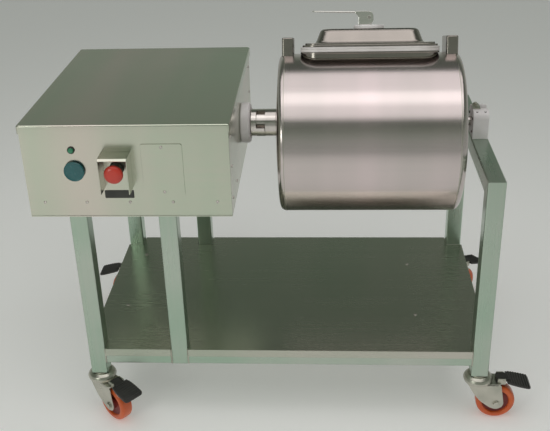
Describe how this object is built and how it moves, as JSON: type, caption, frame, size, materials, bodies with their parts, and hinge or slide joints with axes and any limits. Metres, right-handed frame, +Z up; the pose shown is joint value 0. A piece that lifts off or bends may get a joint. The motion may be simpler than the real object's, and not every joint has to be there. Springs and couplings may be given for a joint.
{
  "type": "drum tumbler",
  "caption": "Motor-driven stainless drum with a cam-clamped lid, turning on a horizontal axis over a shelf on a castered tube frame.",
  "frame": {"origin": "on the floor under the middle of the tube frame", "axes": "+X from the drive casing to the free end of the drum, +Z up, -Y towards the operator"},
  "size_m": [1.098, 0.6834, 0.8704],
  "materials": {
    "tube_steel": "brushed stainless square tube",
    "sheet_steel": "brushed stainless sheet, folded",
    "drum_steel": "stainless, polished and brushed along the axis",
    "shaft_steel": "turned stainless",
    "white_nylon": "machined white nylon",
    "black_plastic": "moulded black nylon",
    "red_plastic": "moulded red",
    "green_lens": "moulded green lens",
    "blue_plastic": "moulded blue-green",
    "orange_tyre": "cast orange-red polyurethane",
    "plated_steel": "pressed and zinc plated",
    "motor_paint": "semi-gloss dark paint",
    "cast_alloy": "as cast",
    "black_rubber": "smooth moulded rubber"
  },
  "bodies": {
    "frame": {"front_left_leg": "tube_steel", "rear_left_leg": "tube_steel", "front_middle_leg": "tube_steel", "rear_middle_leg": "tube_steel", "front_right_leg": "tube_steel", "rear_right_leg": "tube_steel", "right_crossbar": "tube_steel", "front_rail_left": "tube_steel", "front_rail_right": "tube_steel", "rear_rail_left": "tube_steel", "rear_rail_right": "tube_steel", "left_side_rail": "tube_steel", "right_side_rail": "tube_steel", "shelf": "sheet_steel", "base_plate": "sheet_steel", "front_panel": "sheet_steel", "rear_panel": "sheet_steel", "left_panel": "sheet_steel", "right_panel": "sheet_steel", "top_cover": "sheet_steel", "access_cover": "sheet_steel", "stop_shroud": "sheet_steel", "pilot_light": "green_lens", "stop_collar": "black_plastic", "gearbox": "cast_alloy", "motor": "motor_paint", "seal_disc": "white_nylon", "bearing_block": "white_nylon"},
    "start_button": {"start_button": "blue_plastic"},
    "stop_button": {"stop_button": "red_plastic"},
    "drum": {"drum_barrel": "drum_steel", "drum_left_head": "drum_steel", "drum_right_head": "drum_steel", "driven_coupling": "shaft_steel", "idle_shaft": "shaft_steel", "left_lug": "drum_steel", "right_lug": "drum_steel"},
    "drive_shaft": {"drive_shaft": "shaft_steel", "drive_coupling": "shaft_steel"},
    "rotor": {"motor_fan": "black_plastic"},
    "lid": {"lid": "drum_steel", "gasket": "white_nylon", "plug_ring": "black_rubber", "cam_washer": "white_nylon"},
    "tie_bolt": {"tie_bolt": "shaft_steel"},
    "lever": {"lever": "shaft_steel"},
    "keeper": {"bearing_keeper": "plated_steel"},
    "front_left_fork": {"front_left_fork": "plated_steel"},
    "front_left_wheel": {"front_left_wheel": "orange_tyre"},
    "front_left_pedal": {"front_left_pedal": "black_plastic"},
    "rear_left_fork": {"rear_left_fork": "plated_steel"},
    "rear_left_wheel": {"rear_left_wheel": "orange_tyre"},
    "rear_left_pedal": {"rear_left_pedal": "black_plastic"},
    "front_right_fork": {"front_right_fork": "plated_steel"},
    "front_right_wheel": {"front_right_wheel": "orange_tyre"},
    "front_right_pedal": {"front_right_pedal": "black_plastic"},
    "rear_right_fork": {"rear_right_fork": "plated_steel"},
    "rear_right_wheel": {"rear_right_wheel": "orange_tyre"},
    "rear_right_pedal": {"rear_right_pedal": "black_plastic"}
  },
  "joints": [
    {"name": "start_press", "type": "slide", "parent": "frame", "child": "start_button", "axis": [0, 1, 0], "range_m": [0, 0.003], "stiffness_N_per_m": 600},
    {"name": "stop_press", "type": "slide", "parent": "frame", "child": "stop_button", "axis": [0, 1, 0], "range_m": [0, 0.005], "stiffness_N_per_m": 1200},
    {"name": "drum_spin", "type": "hinge", "parent": "frame", "child": "drum", "pos_m": [0.185, 0, 0.629], "axis": [1, 0, 0], "continuous": true},
    {"name": "drive_shaft_spin", "type": "hinge", "parent": "frame", "child": "drive_shaft", "pos_m": [-0.0687, 0, 0.629], "axis": [1, 0, 0], "continuous": true},
    {"name": "rotor_spin", "type": "hinge", "parent": "frame", "child": "rotor", "pos_m": [-0.255, 0, 0.629], "axis": [1, 0, 0], "continuous": true},
    {"name": "lid_lift", "type": "slide", "parent": "drum", "child": "lid", "axis": [0, 0.2756, 0.9613], "range_m": [0, 0.08]},
    {"name": "clamp_drop", "type": "slide", "parent": "lid", "child": "tie_bolt", "axis": [0, -0.2756, -0.9613], "range_m": [0, 0.006]},
    {"name": "lever_flip", "type": "hinge", "parent": "tie_bolt", "child": "lever", "pos_m": [0.185, 0.06367, 0.85105], "axis": [0, 0.9613, -0.2756], "range_deg": [0, 90]},
    {"name": "keeper_swing", "type": "hinge", "parent": "frame", "child": "keeper", "pos_m": [0.4245, 0.012, 0.6616], "axis": [0, 0, 1], "range_deg": [0, 100]},
    {"name": "front_left_swivel", "type": "hinge", "parent": "frame", "child": "front_left_fork", "pos_m": [-0.433, -0.248, 0.118], "axis": [0, 0, 1], "continuous": true},
    {"name": "front_left_roll", "type": "hinge", "parent": "front_left_fork", "child": "front_left_wheel", "pos_m": [-0.40083, -0.275, 0.044], "axis": [0.6428, 0.766, 0], "continuous": true},
    {"name": "front_left_brake", "type": "hinge", "parent": "front_left_fork", "child": "front_left_pedal", "pos_m": [-0.3901, -0.284, 0.103], "axis": [0.6428, 0.766, 0], "range_deg": [0, 12]},
    {"name": "rear_left_swivel", "type": "hinge", "parent": "frame", "child": "rear_left_fork", "pos_m": [-0.433, 0.248, 0.118], "axis": [0, 0, 1], "continuous": true},
    {"name": "rear_left_roll", "type": "hinge", "parent": "rear_left_fork", "child": "rear_left_wheel", "pos_m": [-0.475, 0.248, 0.044], "axis": [0, -1, 0], "continuous": true},
    {"name": "rear_left_brake", "type": "hinge", "parent": "rear_left_fork", "child": "rear_left_pedal", "pos_m": [-0.489, 0.248, 0.103], "axis": [0, -1, 0], "range_deg": [0, 12]},
    {"name": "front_right_swivel", "type": "hinge", "parent": "frame", "child": "front_right_fork", "pos_m": [0.433, -0.248, 0.118], "axis": [0, 0, 1], "continuous": true},
    {"name": "front_right_roll", "type": "hinge", "parent": "front_right_fork", "child": "front_right_wheel", "pos_m": [0.475, -0.248, 0.044], "axis": [0, 1, 0], "continuous": true},
    {"name": "front_right_brake", "type": "hinge", "parent": "front_right_fork", "child": "front_right_pedal", "pos_m": [0.489, -0.248, 0.103], "axis": [0, 1, 0], "range_deg": [0, 12]},
    {"name": "rear_right_swivel", "type": "hinge", "parent": "frame", "child": "rear_right_fork", "pos_m": [0.433, 0.248, 0.118], "axis": [0, 0, 1], "continuous": true},
    {"name": "rear_right_roll", "type": "hinge", "parent": "rear_right_fork", "child": "rear_right_wheel", "pos_m": [0.46517, 0.275, 0.044], "axis": [-0.6428, 0.766, 0], "continuous": true},
    {"name": "rear_right_brake", "type": "hinge", "parent": "rear_right_fork", "child": "rear_right_pedal", "pos_m": [0.4759, 0.284, 0.103], "axis": [-0.6428, 0.766, 0], "range_deg": [0, 12]}
  ],
  "couplings": [
    {"joint": "drive_shaft_spin", "follows": "drum_spin", "ratio": 1},
    {"joint": "rotor_spin", "follows": "drum_spin", "ratio": 40},
    {"joint": "clamp_drop", "follows": "lever_flip", "m_per_rad": 0.0038197}
  ]
}
